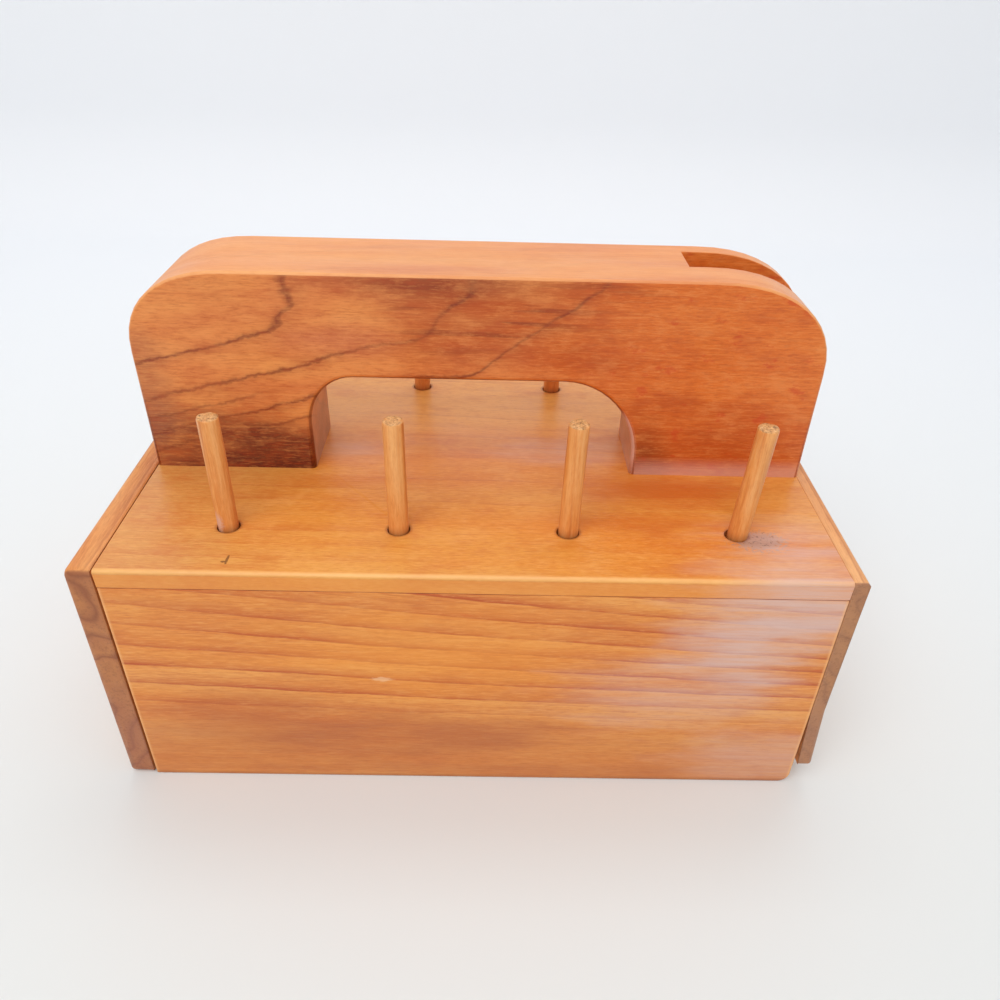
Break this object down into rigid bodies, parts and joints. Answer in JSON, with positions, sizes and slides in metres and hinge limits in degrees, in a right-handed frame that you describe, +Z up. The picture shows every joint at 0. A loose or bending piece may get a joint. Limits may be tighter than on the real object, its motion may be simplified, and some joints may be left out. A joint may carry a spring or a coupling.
{
  "type": "thread spool box",
  "caption": "Wooden sewing box with a sawn carrying handle, a scissor slot, loose dowel pegs for thread spools and a drawer that slides out of one end.",
  "frame": {"origin": "middle of the carcass's underside, on the table", "axes": "+X towards the fixed end panel, so the drawer opens towards -X; +Y from the front face to the back; +Z up"},
  "size_m": [0.2551, 0.148, 0.16],
  "materials": {
    "cedar": "satin oiled softwood",
    "cedar_handle": "satin oiled softwood with strong figure",
    "cedar_ends": "satin oiled softwood, end grain at its edges",
    "dowel": "oiled hardwood dowel, sawn ends",
    "pale_wood": "bare sanded softwood",
    "steel": "plain"
  },
  "bodies": {
    "carcass": {"top_board": "cedar", "front_board": "cedar", "back_board": "cedar", "bottom_board": "cedar", "end_panel": "cedar_ends", "end_panel_brads": "steel", "handle": "cedar_handle", "handle_screws": "steel"},
    "drawer": {"drawer_front": "cedar_ends", "drawer_side_front": "pale_wood", "drawer_side_back": "pale_wood", "drawer_end": "pale_wood", "drawer_bottom": "pale_wood", "drawer_brads": "steel", "drawer_knob": "cedar_ends", "knob_screw": "steel"},
    "front_peg_1": {"peg_front_1": "dowel"},
    "front_peg_2": {"peg_front_2": "dowel"},
    "front_peg_3": {"peg_front_3": "dowel"},
    "front_peg_4": {"peg_front_4": "dowel"},
    "back_peg_1": {"peg_back_1": "dowel"},
    "back_peg_2": {"peg_back_2": "dowel"},
    "back_peg_3": {"peg_back_3": "dowel"},
    "back_peg_4": {"peg_back_4": "dowel"}
  },
  "joints": [
    {"name": "drawer_slide", "type": "slide", "parent": "carcass", "child": "drawer", "axis": [-1, 0, 0], "range_m": [0, 0.175]},
    {"name": "front_peg_1_lift", "type": "slide", "parent": "carcass", "child": "front_peg_1", "axis": [0, 0, 1], "range_m": [0, 0.02]},
    {"name": "front_peg_2_lift", "type": "slide", "parent": "carcass", "child": "front_peg_2", "axis": [0, 0, 1], "range_m": [0, 0.02]},
    {"name": "front_peg_3_lift", "type": "slide", "parent": "carcass", "child": "front_peg_3", "axis": [0.014, 0, 0.9999], "range_m": [0, 0.02]},
    {"name": "front_peg_4_lift", "type": "slide", "parent": "carcass", "child": "front_peg_4", "axis": [0.0523, 0, 0.9986], "range_m": [0, 0.02]},
    {"name": "back_peg_1_lift", "type": "slide", "parent": "carcass", "child": "back_peg_1", "axis": [0, 0, 1], "range_m": [0, 0.02]},
    {"name": "back_peg_2_lift", "type": "slide", "parent": "carcass", "child": "back_peg_2", "axis": [0, 0, 1], "range_m": [0, 0.02]},
    {"name": "back_peg_3_lift", "type": "slide", "parent": "carcass", "child": "back_peg_3", "axis": [0, 0, 1], "range_m": [0, 0.02]},
    {"name": "back_peg_4_lift", "type": "slide", "parent": "carcass", "child": "back_peg_4", "axis": [0, 0, 1], "range_m": [0, 0.02]}
  ]
}
